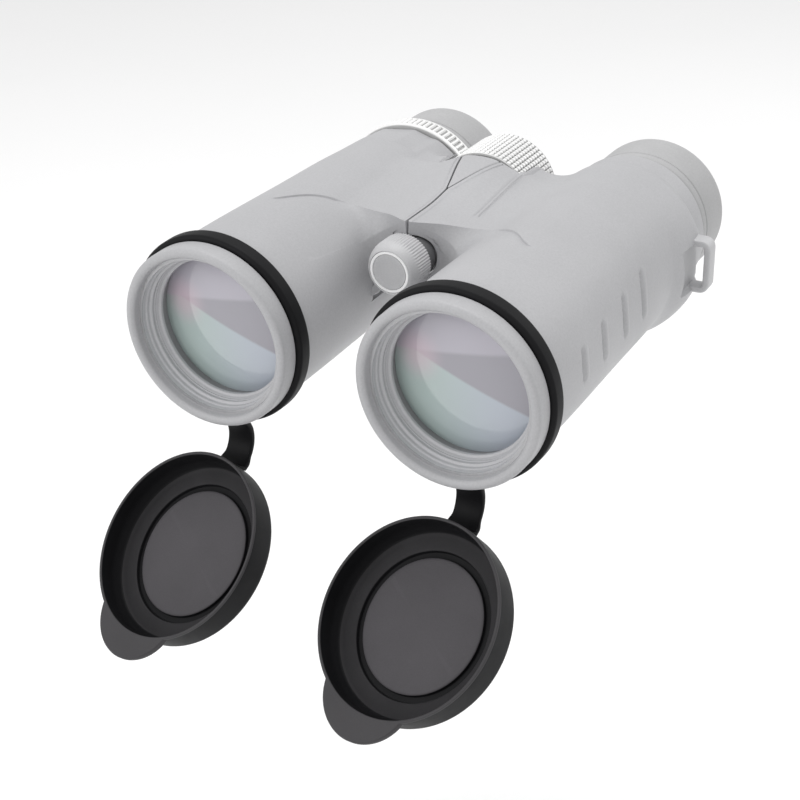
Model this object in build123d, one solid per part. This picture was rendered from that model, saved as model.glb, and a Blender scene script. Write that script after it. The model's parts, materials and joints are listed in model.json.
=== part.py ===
"""Roof-prism binoculars (10x42 class) with tethered objective caps.

Frame: millimetres, +Z up, objectives towards -Y, eyepieces towards +Y.  The origin is the
mouth of the tripod socket, on the central hinge axis.  "Left" and "right" are the user's
own sides: the user looks towards -Y, so the left barrel is at +X and the right one at -X.

Lengths along a barrel are given as stations, measured from the front of the objectives.
"""
from build123d import *
import os
from math import atan2, cos, degrees, hypot, radians, sin, tan

os.makedirs("parts", exist_ok=True)

# ---------------------------------------------------------------- driving dimensions
FRONT_Y = -39.0            # frame Y of station 0, the front of the objectives
BARREL_X = 36.67           # barrel axes, fully open: 73.3 mm apart
BARREL_Z = -11.8           # barrel axes lie below the hinge axis

RIM_R = 26.0               # objective rim, the widest part of the armour
RIM_END = 5.9
RING_SEAT_R = 25.0         # groove that the cap ring turns in
RING_SEAT_END = 11.2
ARMOUR = [(25.5, 11.2), (25.5, 31.0), (25.0, 66.0), (24.8, 83.0), (24.3, 94.0), (24.0, 106.0)]
BODY_REAR = {"left": [(22.6, 113.4), (22.6, 121.6)], "right": [(23.7, 113.4)]}
SKIN = 1.5                 # rubber armour thickness
BULGE_SHIFT = 3.6          # the prism bulge, low on the outer side
BULGE_ANGLE = -38.0
BULGE = [(15.0, 84.0), (20.5, 92.0), (22.8, 99.0), (23.6, 105.0), (23.6, 110.0), (22.6, 113.4)]
BORE_R = 22.0              # housing bore for the objective and focusing lens
PRISM_BORE_R = 20.6
PRISM_START = 88.6
REAR_WALL = (111.8, 114.0)
NECK_R = 19.0              # rear neck that carries the eyecup and the diopter ring
NECK_BORE_R = 17.0
NECK_END = 128.0

SCALLOP = [(0, 46.6), (8.5, 53.0), (20.0, 55.5), (33.0, 51.0), (46.0, 39.0)]   # bridge's front edge
HOUSING_BACK = 2.2         # the rigid wing starts this far behind the rubber's front
WING_END = 100.0
KNUCKLE_R = 6.8
KNUCKLES = {"right": [(52.0, 58.0), (65.4, 71.8)], "left": [(58.4, 65.0)]}
WASHERS = [(51.6, 52.0), (58.0, 58.4), (65.0, 65.4), (71.8, 72.2)]
WING_BORE_R = 7.2
CAVITY_R = 8.6             # room for the focus carriage, behind the knuckles
CAVITY = (72.6, 92.4)
UNDERSIDE_GAP = 27.0       # each wing stops this many degrees short of straight down
SEAM = 0.15                # half the gap between the wings

AXLE_R = 4.0
AXLE_REAR_R = 3.0
BOSS_R = 5.5
SOCKET_R = 3.175           # 1/4 inch tripod thread
SOCKET_DEPTH = 8.0
COVER_R = 8.0
COVER = (37.0, 46.6)

WHEEL_R = 15.66
WHEEL = (93.0, 111.7)
WHEEL_CLEAR_R = 16.4
CARRIAGE = (80.0, 88.0)
GROOVE = (82.9, 85.1)
GROOVE_R = 5.5
FORK = (83.1, 84.9)
ROD_U = 18.0               # guide rod's distance from the barrel axis, towards the hinge

CAP_R = 27.35
CAP_MOUTH_R = 26.45
CAP_MOUTH = 4.2            # station of the closed cap's edge
CAP_FRONT = -5.5
CAP_SWING = 133.5          # from closed to hanging
CAP_PIVOT = (4.8, -32.4)   # station, and height from the barrel axis
CAP_YAW = -6.8             # the strap hangs a little askew
RING = (6.1, 11.0)
RING_R = 27.46
STRAP_WIDTH = 8.0

SIDES = {"left": 1, "right": -1}
HINGE_RADIUS = hypot(BARREL_X, BARREL_Z)
HINGE_ANGLE = degrees(atan2(-BARREL_Z, BARREL_X))


# ---------------------------------------------------------------- helpers
def revolved(points):
    """Solid turned about the Y axis from (radius, station) corners."""
    outline = Polyline(*[(r, FRONT_Y + s) for r, s in points], close=True)
    return revolve(make_face(outline), axis=Axis.Y)


def disc(radius, start, end, bore=0.0):
    """Cylinder or ring on the Y axis, between two stations."""
    return revolved([(bore, start), (radius, start), (radius, end), (bore, end)])


def lens(radius, front, back, front_sag, back_sag):
    """Lens between two rim stations; a positive sag bulges outwards."""
    front_y, back_y = FRONT_Y + front, FRONT_Y + back

    def half_way(sag):
        curvature = (radius ** 2 + sag ** 2) / (2 * abs(sag))
        drop = curvature - (curvature ** 2 - radius ** 2 / 4) ** 0.5
        return sag - drop * (1 if sag > 0 else -1)

    front_arc = ThreePointArc(
        (0, front_y - front_sag), (radius / 2, front_y - half_way(front_sag)), (radius, front_y))
    back_arc = ThreePointArc(
        (radius, back_y), (radius / 2, back_y + half_way(back_sag)), (0, back_y + back_sag))
    rim = Line((radius, front_y), (radius, back_y))
    core = Line((0, back_y + back_sag), (0, front_y - front_sag))
    return revolve(make_face(Curve() + [front_arc, rim, back_arc, core]), axis=Axis.Y)


def prism_along_y(points, start, end):
    """Extrusion along Y of an outline of (x, z) points."""
    face = make_face(Plane.XZ * Polyline(*points, close=True))
    return Pos(0, FRONT_Y + end, 0) * extrude(face, amount=end - start, dir=(0, -1, 0))


def prism_along_x(points, low, high):
    """Extrusion along X of an outline of (station, z) points."""
    face = make_face(Plane.YZ * Polyline(*[(FRONT_Y + s, z) for s, z in points], close=True))
    return Pos(low, 0, 0) * extrude(face, amount=high - low, dir=(1, 0, 0))


def block(x, stations, z):
    """Box from its (low, high) pairs."""
    size = (x[1] - x[0], stations[1] - stations[0], z[1] - z[0])
    middle = ((x[0] + x[1]) / 2, FRONT_Y + (stations[0] + stations[1]) / 2, (z[0] + z[1]) / 2)
    return Pos(*middle) * Box(*size)


def to_barrel(solid):
    """Move a solid from the Y axis to the left barrel's axis."""
    return Pos(BARREL_X, 0, BARREL_Z) * solid


def to_side(solid, side):
    """Left-hand solids are mirrored for the right barrel."""
    return solid if side == "left" else mirror(solid, about=Plane.YZ)


def towards_hinge(solid):
    """Turn a barrel-axis solid so that its +X side points at the hinge."""
    return Rot(0, -(180 - HINGE_ANGLE), 0) * solid


def write(solid, name):
    """Write one node."""
    shape = solid.solids()[0] if len(solid.solids()) == 1 else Compound(children=list(solid.solids()))
    shape.label = name
    export_step(shape, f"parts/{name}.step")


# ---------------------------------------------------------------- barrel shells
def scallop(inset):
    """Everything behind the bridge's scalloped front edge, seen from above."""
    back = HOUSING_BACK if inset else 0.0
    front = Spline(*[(x, s + back) for x, s in SCALLOP])
    first, last = front @ 0, front @ 1
    rest = Polyline((last.X, last.Y), (60, last.Y), (60, 130), (0, 130), (first.X, first.Y))
    face = make_face(Curve() + [front, rest])
    return Pos(0, FRONT_Y, -40) * extrude(face, amount=80)


def wing(inset, start):
    """Left half of the bridge: from the hinge seam to the top of the barrel."""
    top = [(SEAM, 11.2 - inset), (6.0, 10.1 - inset), (12.0, 8.9 - inset)]
    top += [(20.0, 9.3 - inset), (28.0, 11.4 - inset), (BARREL_X, 13.2 - inset)]
    edge = radians(UNDERSIDE_GAP)
    under = [(BARREL_X, BARREL_Z), (14.0, -12.5), (10.5, -10.6 + inset)]
    under += [(11.2 * sin(edge), -11.2 * cos(edge) + inset), (SEAM, -1.0)]
    slab = prism_along_y(top + under, start, WING_END)
    slope = tan(edge) * 20
    return slab - prism_along_y([(-0.1, 0), (0, 0), (slope, -20), (-0.1, -20)], 30, 110)


def shell(side, inset):
    """Outer surface of a left-hand barrel with its half of the bridge."""
    corners = [(r - inset, s) for r, s in ARMOUR + BODY_REAR[side]]
    barrel = revolved([(0, RING_SEAT_END)] + corners + [(0, corners[-1][1])])
    shift = (BULGE_SHIFT * cos(radians(BULGE_ANGLE)), 0, BULGE_SHIFT * sin(radians(BULGE_ANGLE)))
    bulge = revolved([(0, 84.0)] + [(r - inset, s) for r, s in BULGE] + [(0, 113.4)])
    body = to_barrel(barrel + Pos(*shift) * bulge)
    bridge = wing(inset, 37.0) & scallop(inset)
    strap_recess = to_barrel(block((23.9 - inset, 40), (98.0, 114.0), (-8.4, 4.4)))
    return body + bridge - strap_recess


def centre_cuts():
    """Room for the hinge, the focus carriage, the top cover and the focus wheel."""
    cuts = disc(WING_BORE_R, 30, CAVITY[0]) + disc(CAVITY_R, *CAVITY)
    cuts += disc(WHEEL_CLEAR_R, CAVITY[1] - 0.1, 113.4)
    return cuts + cover_wedge(0.0, 7.4, 20.0)


def cover_wedge(gap, low, high):
    """Triangle in plan between the wings, behind the hinge seam."""
    outline = Polyline((0, 72.4 + 2 * gap), (9.6 - gap, 92.4 - gap), (-9.6 + gap, 92.4 - gap), close=True)
    return Pos(0, FRONT_Y, low) * extrude(make_face(outline), amount=high - low)


def arm_pocket():
    """Passage for the focusing arm, from the hinge cavity into the barrel."""
    return to_barrel(towards_hinge(block((17.0, 33.0), (79.6, 88.4), (-4.0, 4.0))))


def strap_lug():
    """Loop for the neck strap, its two feet let into the housing."""
    loop = block((21.6, 30.2), (105.2, 110.2), (-10.2, 6.2))
    slot = block((21.0, 28.2), (104.0, 112.0), (-8.3, 4.3))
    return to_barrel(fillet((loop - slot).edges().filter_by(Axis.Y).sort_by(Axis.X)[-2:], 1.6))


def barrel_housing(side):
    """Rigid shell: objective tube, prism housing, neck, bridge half and hinge knuckles."""
    front = disc(RING_SEAT_R - SKIN, 2.4, 12.0) + disc(NECK_R, 112.0, NECK_END)
    solid = shell(side, SKIN) + to_barrel(front) - centre_cuts()
    for start, end in KNUCKLES[side]:
        solid += disc(KNUCKLE_R, start, end)
        solid += wing(SKIN, 37.0) & disc(WING_BORE_R + 0.5, start, end)
    solid -= disc(AXLE_R + 0.05, 40, 80)
    bores = disc(BORE_R, 0, PRISM_START) + disc(PRISM_BORE_R, PRISM_START - 1, REAR_WALL[0])
    bores += disc(NECK_BORE_R, 100, 140)
    return solid - to_barrel(bores) - arm_pocket() - strap_lug()


def rubber_armour(side):
    """Rubber skin with the objective lip and the cap ring's groove."""
    lip = [(22.9, 2.2), (23.2, 0.9), (24.2, 0.0), (25.0, 0.2), (25.7, 0.8), (RIM_R, 1.6)]
    lip += [(RIM_R, RIM_END), (RING_SEAT_R, RIM_END), (RING_SEAT_R, RING_SEAT_END)]
    lip += [(25.5, RING_SEAT_END), (25.5, 12.0), (22.0, 12.0), (22.0, 2.2)]
    solid = shell(side, 0.0) + to_barrel(revolved(lip)) - centre_cuts()
    core = shell(side, SKIN) + to_barrel(disc(RING_SEAT_R - SKIN, 2.4, 12.0))
    if side == "left":
        core += to_barrel(disc(NECK_R, 112, NECK_END))
    solid -= core + disc(CAVITY_R + SKIN, 30, WHEEL[0]) + to_barrel(disc(BORE_R + 0.2, 2.3, 20))
    return solid.solids().sort_by(SortBy.VOLUME)[-1] - strap_lug()


# ---------------------------------------------------------------- optics
def objective_cell():
    """Tube that holds the objective doublet."""
    return revolved([(20.9, 9.6), (BORE_R, 9.6), (BORE_R, 26.0), (20.0, 26.0), (20.0, 21.2), (20.9, 20.6)])


def objective_retainer():
    """Stepped threaded ring in front of the doublet."""
    return revolved([(BORE_R, 2.6), (BORE_R, 9.5), (20.2, 9.5), (20.2, 8.0), (21.0, 7.0), (21.0, 5.2), (21.9, 4.4)])


def focus_cell():
    """Focusing lens ring, with its guide hub, arm and carriage fork."""
    ring = disc(14.6, 77.6, 85.0, 12.5)
    hub = Pos(ROD_U, 0, 0) * disc(3.0, 79.0, 85.0)
    arm = block((13.6, 32.0), FORK, (-3.0, 3.0))
    hinge = Pos(HINGE_RADIUS, 0, 0)
    fork = hinge * disc(8.2, *FORK) & block((HINGE_RADIUS - 9, HINGE_RADIUS - 4.6), FORK, (-4.3, 4.3))
    body = ring + hub + arm + fork - hinge * disc(GROOVE_R + 0.25, 70, 100)
    return body - Pos(ROD_U, 0, 0) * disc(1.56, 70, 100) - disc(12.5, 70, 100)


def guide_rod():
    """Rod that the focusing lens slides on, screwed into the prism holder."""
    return Pos(ROD_U, 0, 0) * disc(1.5, 74.0, 91.0)


def prism_holder():
    """Cage around the two prisms, open on the light path."""
    cage = disc(20.5, 89.0, 111.6)
    pocket = block((-10.1, 10.1), (90.4, 110.4), (-13.6, 14.6))
    light_path = disc(10.0, 88, 113)
    return cage - pocket - light_path - towards_hinge(guide_rod())


def half_prism():
    """Front prism of the roof-prism pair."""
    return prism_along_x([(90.6, -11.5), (90.6, 11.0), (92.5, 11.0), (103.4, -6.0), (98.0, -13.4)], -10, 10)


def roof_prism():
    """Rear prism, with its roof on top."""
    outline = [(93.1, 11.2), (104.0, -5.8), (110.2, -1.0), (110.2, 10.8), (103.6, 14.2), (97.0, 14.2)]
    ridge = [(-10, -20), (10, -20), (10, 11.0), (3.2, 14.4), (-3.2, 14.4), (-10, 11.0)]
    return prism_along_x(outline, -10, 10) & prism_along_y(ridge, 88, 112)


def eyepiece_tube():
    """Ocular barrel with seats for the field lens and the eye lens."""
    return revolved([(13.2, 112.9), (16.9, 112.9), (16.9, 137.4), (11.8, 137.4), (11.8, 136.2), (13.2, 136.2)])


# ---------------------------------------------------------------- eyecups
def eyecup_sleeve():
    """Helical sleeve that turns on the barrel's neck."""
    return disc(19.9, 121.9, 134.0, NECK_R + 0.05)


def eyecup_core():
    """Rigid tube of the eyecup."""
    return disc(20.8, 123.2, 139.6, 19.95)


def eyecup_rubber():
    """Soft outer cup with its rolled rim."""
    outside = [(20.8, 123.2), (21.3, 123.2), (21.6, 124.0), (21.6, 140.8), (20.9, 141.9), (19.8, 142.3)]
    rim = [(15.6, 142.3), (14.7, 141.8), (14.4, 140.8), (14.8, 139.8), (15.6, 139.6), (20.8, 139.6)]
    return revolved(outside + rim)


# ---------------------------------------------------------------- objective caps
def cap_ring():
    """Elastic ring that keeps the cap on the barrel."""
    low, high = RING
    inner = RING_SEAT_R + 0.2
    return revolved([(inner, low), (26.9, low), (RING_R, low + 0.6), (RING_R, high - 0.6), (26.9, high), (inner, high)])


def cap_axis():
    """Line that a cap swings about, in the left barrel's own place."""
    direction = Vector(cos(radians(CAP_YAW)), sin(radians(CAP_YAW)), 0)
    return Axis((BARREL_X, FRONT_Y + CAP_PIVOT[0], BARREL_Z + CAP_PIVOT[1]), direction)


def closed_cap():
    """Cap in place on the left objective rim."""
    floor = [(0, CAP_FRONT), (25.6, CAP_FRONT), (26.5, CAP_FRONT + 0.9), (CAP_R, CAP_MOUTH - 0.8)]
    mouth = [(CAP_R, CAP_MOUTH), (CAP_MOUTH_R, CAP_MOUTH), (26.3, 0.0), (25.5, CAP_FRONT + 1.6)]
    panel = [(18.9, CAP_FRONT + 1.6), (18.5, CAP_FRONT + 2.3), (0, CAP_FRONT + 2.3)]
    cup = revolved(floor + mouth + panel)
    tab = Pos(0, 0, 20.9) * disc(13.4, CAP_MOUTH - 1.8, CAP_MOUTH) - disc(26.8, -10, 10)
    upper = block((-20, 20), (-10, 10), (0, 40))
    return to_barrel(cup + (tab & upper))


def objective_cap(side):
    """Cap as it hangs open below its barrel."""
    hanging = closed_cap().rotate(cap_axis(), CAP_SWING)
    return hanging if side == "left" else Pos(-2 * BARREL_X, 0, 0) * hanging


def cap_tether(side):
    """Strap from the ring's underside, bowed back and joined to the cap's edge."""
    centre, bend_r, half = (5.4, -35.3), 7.9, 0.85
    bow = disc_x(bend_r + half, centre) - disc_x(bend_r - half, centre)
    strap = to_barrel(bow & block((-STRAP_WIDTH / 2, STRAP_WIDTH / 2), (6.6, 20), (-44.0, -26.0)))
    strap = strap if side == "left" else Pos(-2 * BARREL_X, 0, 0) * strap
    ring = Pos(SIDES[side] * BARREL_X, 0, BARREL_Z) * disc(RING_R, *RING)
    cut = strap - ring - objective_cap(side)
    return cut.solids().sort_by(SortBy.VOLUME)[-1]


def disc_x(radius, centre):
    """Cylinder along X at a station and a height."""
    return Pos(0, FRONT_Y + centre[0], centre[1]) * Rot(0, 90, 0) * Cylinder(radius, STRAP_WIDTH)


# ---------------------------------------------------------------- hinge and focus
def hinge_axle():
    """Axle with the tripod boss in front and the focus shaft behind."""
    floor = SOCKET_DEPTH - FRONT_Y
    outline = [(0, floor), (SOCKET_R, floor), (SOCKET_R, -FRONT_Y), (BOSS_R, -FRONT_Y), (BOSS_R, floor), (6.6, floor)]
    outline += [(6.6, WASHERS[0][0]), (AXLE_R, WASHERS[0][0]), (AXLE_R, 76.6), (AXLE_REAR_R, 76.6), (AXLE_REAR_R, 106.0), (0, 106.0)]
    return revolved(outline)


def hinge_cover():
    """Fixed collar on the axle with the triangular panel between the wings."""
    profile = prism_along_x([(72.4, 8.9), (72.4, 11.2), (92.4, 13.4), (92.4, 8.9)], -12, 12)
    panel = cover_wedge(0.25, 8.9, 16.0) & profile
    post = block((-0.8, 0.8), (74.9, 76.4), (5.0, 10.0))
    return panel + post + disc(7.0, 74.2, 76.4) - disc(AXLE_R, 70, 80)


def hinge_washers():
    """Friction washers between the knuckles and at both ends of the hinge."""
    return Compound(children=[disc(6.4, start, end, AXLE_R + 0.05) for start, end in WASHERS])


def hinge_nut():
    """Ring nut that sets the hinge's stiffness."""
    return disc(6.6, 72.2, 74.2, AXLE_R)


def tripod_cover():
    """Screw-off knob over the tripod boss, with grip flutes."""
    low, high = COVER
    knob = disc(COVER_R, low, high) - disc(BOSS_R + 0.15, 38.6, high + 1)
    flutes = [Pos(COVER_R * cos(t), 0, COVER_R * sin(t)) * disc(0.45, low + 1, high)
              for t in [radians(360 * n / 24) for n in range(24)]]
    return knob - Compound(children=flutes) - disc(6.0, low - 0.1, low + 0.5, 5.2)


def cover_inlay():
    """Thin white ring let into the knob's face."""
    return disc(6.0, COVER[0], COVER[0] + 0.5, 5.2)


def cover_seal():
    """Sealing ring between the knob and the axle's collar."""
    return disc(6.5, 46.7, 46.95, BOSS_R + 0.1)


def focus_screw():
    """Threaded sleeve that moves the carriage."""
    return disc(4.5, 77.2, 104.8, AXLE_REAR_R + 0.06)


def focus_carriage():
    """Grooved nut that carries both focusing arms."""
    low, high = CARRIAGE
    return disc(7.6, low, high, 4.56) - disc(9.0, *GROOVE, GROOVE_R)


def focus_wheel():
    """Wheel with a web and a hub on the focus screw."""
    low, high = WHEEL
    outside = [(15.0, low), (WHEEL_R, low + 0.7), (WHEEL_R, high - 0.7), (15.0, high), (13.4, high)]
    inside = [(13.4, 104.0), (7.0, 104.0), (7.0, 104.8), (4.5, 104.8), (4.5, 95.0), (7.0, 95.0), (7.0, 100.0)]
    return revolved(outside + inside + [(13.4, 100.0), (13.4, low)])


def axle_screw():
    """Screw that keeps the wheel on the axle."""
    return disc(4.4, 106.0, 107.6) - block((-5, 5), (107.0, 108.0), (-0.5, 0.5))


def wheel_cap():
    """Disc that closes the wheel's rear."""
    return revolved([(0, 109.0), (13.4, 109.0), (13.4, 110.6), (12.6, 111.0), (0, 111.0)])


# ---------------------------------------------------------------- the assembly
BARREL_PIECES = {
    "objective_cell": objective_cell(),
    "objective_retainer": objective_retainer(),
    "crown_lens": lens(20.8, 12.0, 16.0, 1.9, 1.4),
    "flint_lens": lens(20.8, 16.4, 20.4, -1.4, -0.5),
    "focus_cell": towards_hinge(focus_cell()),
    "focus_lens": lens(12.4, 79.0, 83.0, -0.7, -0.6),
    "guide_rod": towards_hinge(guide_rod()),
    "prism_holder": prism_holder(),
    "half_prism": half_prism(),
    "roof_prism": roof_prism(),
    "eyepiece_tube": eyepiece_tube(),
    "field_lens": lens(13.1, 117.0, 119.4, 0.5, 1.4),
    "eye_lens": lens(13.1, 132.2, 135.0, 1.4, 0.8),
    "eyecup_sleeve": eyecup_sleeve(),
    "eyecup_core": eyecup_core(),
    "eyecup_rubber": eyecup_rubber(),
    "cap_ring": cap_ring(),
}

CENTRE_PIECES = {
    "hinge_axle": hinge_axle,
    "hinge_cover": hinge_cover,
    "hinge_washers": hinge_washers,
    "hinge_nut": hinge_nut,
    "tripod_cover": tripod_cover,
    "cover_inlay": cover_inlay,
    "cover_seal": cover_seal,
    "focus_screw": focus_screw,
    "focus_carriage": focus_carriage,
    "focus_wheel": focus_wheel,
    "axle_screw": axle_screw,
    "wheel_cap": wheel_cap,
}

for side in SIDES:
    write(to_side(barrel_housing(side), side), f"{side}_barrel_housing")
    write(to_side(rubber_armour(side), side), f"{side}_rubber_armour")
    write(to_side(strap_lug(), side), f"{side}_strap_lug")
    write(objective_cap(side), f"{side}_objective_cap")
    write(cap_tether(side), f"{side}_cap_tether")
    for name, solid in BARREL_PIECES.items():
        write(to_side(to_barrel(solid), side), f"{side}_{name}")

write(to_side(to_barrel(disc(24.6, 113.7, 120.9, NECK_R + 0.08)), "right"), "diopter_ring")
for name, make in CENTRE_PIECES.items():
    write(make(), name)
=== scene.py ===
"""Roof-prism binoculars with tethered objective caps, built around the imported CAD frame.

Shapes are written in millimetres around a barrel's own axis: radius, angle (0 is the outer
side, 90 is up, 180 is towards the hinge) and station, the distance behind the objective's
front.  Everything is mirrored for the right barrel and turned into metres once, at the end.
"""
import json
import math

import bmesh
import bpy
import numpy as np
from mathutils import Matrix, Vector


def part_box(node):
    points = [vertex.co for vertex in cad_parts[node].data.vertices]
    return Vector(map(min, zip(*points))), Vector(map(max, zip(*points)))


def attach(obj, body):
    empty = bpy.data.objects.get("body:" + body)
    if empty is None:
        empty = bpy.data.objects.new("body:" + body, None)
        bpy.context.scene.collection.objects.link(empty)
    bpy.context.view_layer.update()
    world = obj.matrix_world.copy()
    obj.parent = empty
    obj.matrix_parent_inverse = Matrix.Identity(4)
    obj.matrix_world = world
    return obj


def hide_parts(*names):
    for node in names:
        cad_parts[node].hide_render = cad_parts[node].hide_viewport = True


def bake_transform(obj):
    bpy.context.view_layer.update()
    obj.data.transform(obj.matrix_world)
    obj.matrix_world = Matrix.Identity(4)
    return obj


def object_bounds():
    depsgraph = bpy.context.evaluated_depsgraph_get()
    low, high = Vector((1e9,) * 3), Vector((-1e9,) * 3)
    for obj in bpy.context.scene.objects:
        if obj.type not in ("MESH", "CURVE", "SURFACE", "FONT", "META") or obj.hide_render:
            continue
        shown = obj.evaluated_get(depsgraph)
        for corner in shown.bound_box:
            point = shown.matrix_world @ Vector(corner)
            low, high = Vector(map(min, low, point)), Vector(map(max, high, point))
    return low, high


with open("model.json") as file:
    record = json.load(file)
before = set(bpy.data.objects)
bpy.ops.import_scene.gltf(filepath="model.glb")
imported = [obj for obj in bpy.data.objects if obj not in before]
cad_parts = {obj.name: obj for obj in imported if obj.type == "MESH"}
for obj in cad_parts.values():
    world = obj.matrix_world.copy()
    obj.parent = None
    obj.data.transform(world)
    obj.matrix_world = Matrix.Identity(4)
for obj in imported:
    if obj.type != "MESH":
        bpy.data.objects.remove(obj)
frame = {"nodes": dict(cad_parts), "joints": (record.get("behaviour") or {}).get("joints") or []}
cad_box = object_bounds()

MM = 0.001
SIDES = {"left": 1, "right": -1}


def mm_box(node):
    """Lowest and highest corner of a CAD node, in millimetres."""
    low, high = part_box(node)
    return low / MM, high / MM


def round_extent(node):
    """Front station, rear station and radius of a round CAD node."""
    low, high = mm_box(node)
    return low.y - FRONT, high.y - FRONT, (high.x - low.x) / 2


ring_low, ring_high = mm_box("left_objective_retainer")
AXIS_X = (ring_low.x + ring_high.x) / 2
AXIS_Z = (ring_low.z + ring_high.z) / 2
FRONT = mm_box("left_rubber_armour")[0].y


# ------------------------ curves and meshes
def spline(points):
    """Natural cubic spline through (x, y) points with rising x."""
    x, y = np.array(points, float).T
    n = len(x)
    h = np.diff(x)
    system = np.eye(n)
    right = np.zeros(n)
    for i in range(1, n - 1):
        system[i, i - 1:i + 2] = h[i - 1], 2 * (h[i - 1] + h[i]), h[i]
        right[i] = 6 * ((y[i + 1] - y[i]) / h[i] - (y[i] - y[i - 1]) / h[i - 1])
    bend = np.linalg.solve(system, right)

    def value(at):
        """Height of the curve, held level past its ends."""
        at = np.clip(at, x[0], x[-1])
        k = np.clip(np.searchsorted(x, at) - 1, 0, n - 2)
        a, b = x[k + 1] - at, at - x[k]
        curve = (bend[k] * a ** 3 + bend[k + 1] * b ** 3) / (6 * h[k])
        return (curve + (y[k] / h[k] - bend[k] * h[k] / 6) * a
                + (y[k + 1] / h[k] - bend[k + 1] * h[k] / 6) * b)

    return value


def smooth_step(at, low, high):
    """0 before low, 1 after high, smooth between."""
    t = np.clip((at - low) / (high - low), 0, 1)
    return t * t * (3 - 2 * t)


def smooth_max(a, b, width):
    """The larger of a and b, with their meeting rounded over."""
    d = np.clip(0.5 + 0.5 * (a - b) / width, 0, 1)
    return b + (a - b) * d + width * d * (1 - d)


def rounded(corners, steps=4, closed=True):
    """Outline through (radius, station, fillet) corners, each fillet in steps."""
    points = []
    n = len(corners)
    for i, (r, s, fillet) in enumerate(corners):
        here = np.array((r, s), float)
        if fillet == 0 or (not closed and i in (0, n - 1)):
            points.append(tuple(here))
            continue
        before = np.array(corners[i - 1][:2], float) - here
        after = np.array(corners[(i + 1) % n][:2], float) - here
        cut = min(fillet, np.linalg.norm(before) * 0.49, np.linalg.norm(after) * 0.49)
        start = here + before / np.linalg.norm(before) * cut
        end = here + after / np.linalg.norm(after) * cut
        for t in np.linspace(0, 1, steps + 1):
            points.append(tuple((1 - t) ** 2 * start + 2 * t * (1 - t) * here + t ** 2 * end))
    return points


def mesh_piece(name, points, faces, crease=35.0):
    """Object from millimetre points, smooth apart from edges sharper than crease."""
    data = bpy.data.meshes.new(name)
    data.from_pydata([tuple(p) for p in np.asarray(points) * MM], [], faces)
    data.validate()
    data.polygons.foreach_set("use_smooth", [True] * len(data.polygons))
    data.set_sharp_from_angle(angle=math.radians(crease))
    piece = bpy.data.objects.new(name, data)
    bpy.context.scene.collection.objects.link(piece)
    return piece


def grid_faces(rows, columns, wrap_rows, wrap_columns, flip):
    """Quads of a grid of points, row by row."""
    faces = []
    for i in range(rows if wrap_rows else rows - 1):
        for j in range(columns if wrap_columns else columns - 1):
            a, b = i * columns + j, i * columns + (j + 1) % columns
            c, d = ((i + 1) % rows) * columns + (j + 1) % columns, ((i + 1) % rows) * columns + j
            faces.append((d, c, b, a) if flip else (a, b, c, d))
    return faces


def lathe(name, outline, centre=(0.0, 0.0), segments=192, crease=35.0, radial=None):
    """Closed outline of (radius, station) turned about an axis along Y.

    Points on the axis end the outline.  radial(radius, station, angle) may change a radius."""
    on_axis = outline[0][0] < 1e-6
    body = [p for p in outline if p[0] >= 1e-6]
    angles = np.linspace(0, 2 * math.pi, segments, endpoint=False)
    points = []
    for r, s in body:
        radius = r if radial is None else radial(r, s, angles)
        ring = np.stack((centre[0] + radius * np.cos(angles), np.full(segments, FRONT + s),
                         centre[1] + radius * np.sin(angles)), axis=1)
        points.append(ring)
    points = np.concatenate(points)
    faces = grid_faces(len(body), segments, not on_axis, True, False)
    if on_axis:
        for s, ring in ((outline[0][1], 0), (outline[-1][1], len(body) - 1)):
            points = np.vstack((points, (centre[0], FRONT + s, centre[1])))
            hub, first = len(points) - 1, ring * segments
            for j in range(segments):
                a, b = first + j, first + (j + 1) % segments
                faces.append((hub, b, a) if ring == 0 else (hub, a, b))
    piece = mesh_piece(name, points, faces, crease)
    return face_outwards(piece)


def face_outwards(piece):
    """Turn a closed mesh's normals to the outside."""
    work = bmesh.new()
    work.from_mesh(piece.data)
    bmesh.ops.recalc_face_normals(work, faces=work.faces)
    work.to_mesh(piece.data)
    work.free()
    return piece


def closed_tube(name, loops):
    """Tube through loops of as many points each, closed by a flat face at both ends."""
    count = len(loops[0])
    faces = grid_faces(len(loops), count, False, True, False)
    faces.append(tuple(range(count)))
    faces.append(tuple(reversed(range((len(loops) - 1) * count, len(loops) * count))))
    return face_outwards(mesh_piece(name, np.concatenate(loops), faces, 50.0))


def place(piece, body, material, nodes=()):
    """Give a piece its body and its material, and hide the CAD nodes that it stands for."""
    if not piece.data.materials:
        piece.data.materials.append(material)
    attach(piece, body)
    if nodes:
        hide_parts(*nodes)
    return piece


def axis_of(side):
    """Barrel axis as (x, z)."""
    return SIDES[side] * AXIS_X, AXIS_Z


# ------------------------ materials
SPECK_SHARE = 0.12
WORN_TINT = 1.6
GRAIN_STRENGTH = 0.35
COAT_ROUGHNESS = 0.15


def shader(name, base, rough, metallic=0.0):
    """New material with its Principled shader set up; returns what the node code needs."""
    made = bpy.data.materials.new(name)
    made.use_nodes = True
    nodes, links = made.node_tree.nodes, made.node_tree.links
    surface = nodes["Principled BSDF"]
    surface.inputs["Base Color"].default_value = (*base, 1)
    surface.inputs["Roughness"].default_value = rough
    surface.inputs["Metallic"].default_value = metallic
    where = nodes.new("ShaderNodeTexCoord").outputs["Object"]
    return made, nodes, links, surface, where


def noise_texture(nodes, links, where, scale, detail=4.0, roughness=0.55):
    """Noise texture at a scale per metre."""
    texture = nodes.new("ShaderNodeTexNoise")
    texture.inputs["Scale"].default_value = scale
    texture.inputs["Detail"].default_value = detail
    texture.inputs["Roughness"].default_value = roughness
    links.new(where, texture.inputs["Vector"])
    return texture.outputs["Fac"]


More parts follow.
